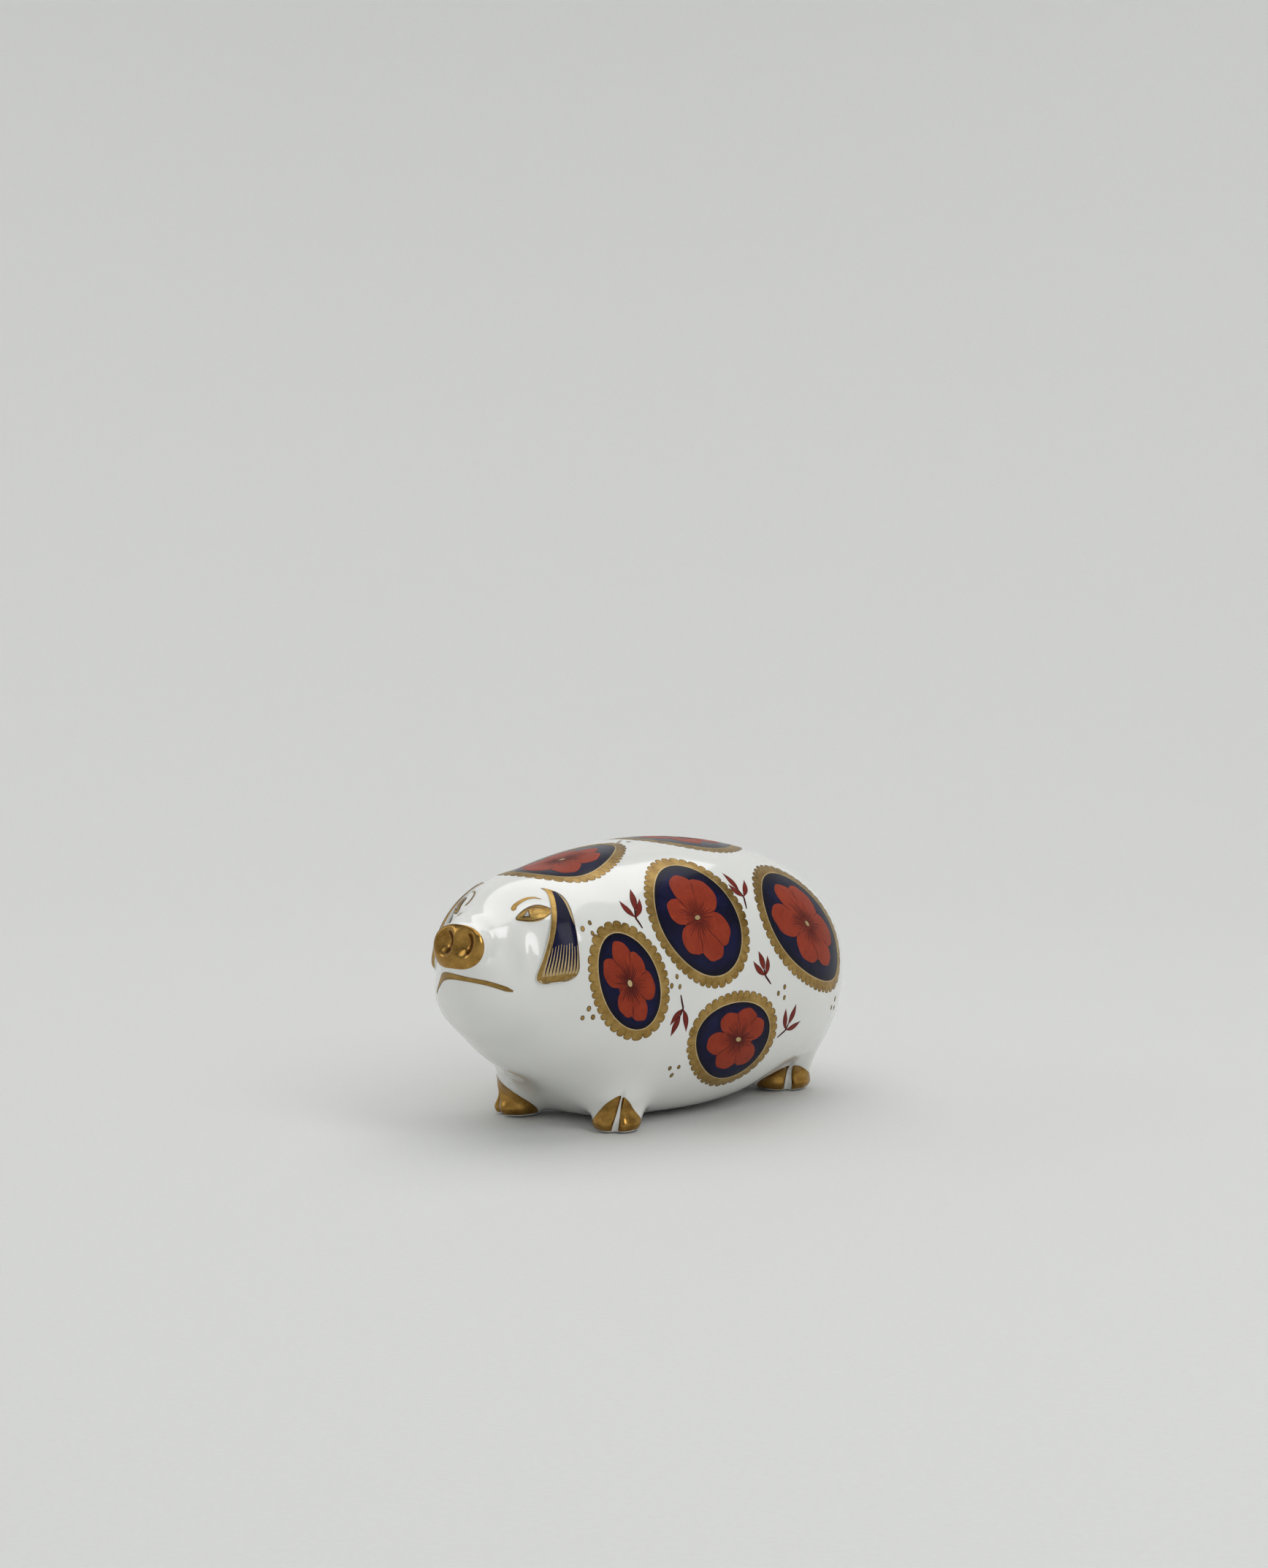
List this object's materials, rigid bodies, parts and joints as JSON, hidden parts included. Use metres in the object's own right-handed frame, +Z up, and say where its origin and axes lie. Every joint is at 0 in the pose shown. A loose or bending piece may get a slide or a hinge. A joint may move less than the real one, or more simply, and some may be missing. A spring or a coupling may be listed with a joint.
{
  "type": "china pig paperweight",
  "caption": "Hollow glazed china pig paperweight with painted flower medallions, gilt details, drop ears, short cloven feet and a push-in stopper under the belly.",
  "frame": {"origin": "centre of the overall box, at the soles of the feet", "axes": "-Y is forward, out of the snout; +X is the pig's left; +Z is up"},
  "size_m": [0.065, 0.114, 0.0591],
  "materials": {
    "china": "gloss glaze",
    "ear_enamel": "cobalt under gloss glaze, gilt edge",
    "sand": "dry sand",
    "rubber": "matte",
    "gilt": "polished"
  },
  "bodies": {
    "pig": {"body_shell": "china", "left_ear": "ear_enamel", "right_ear": "ear_enamel", "tail": "china", "sand_fill": "sand"},
    "stopper": {"stopper_plug": "rubber", "stopper_cap": "gilt"}
  },
  "joints": [
    {"name": "stopper_pull", "type": "slide", "parent": "pig", "child": "stopper", "axis": [0, 0, -1], "range_m": [0, 0.014]}
  ]
}
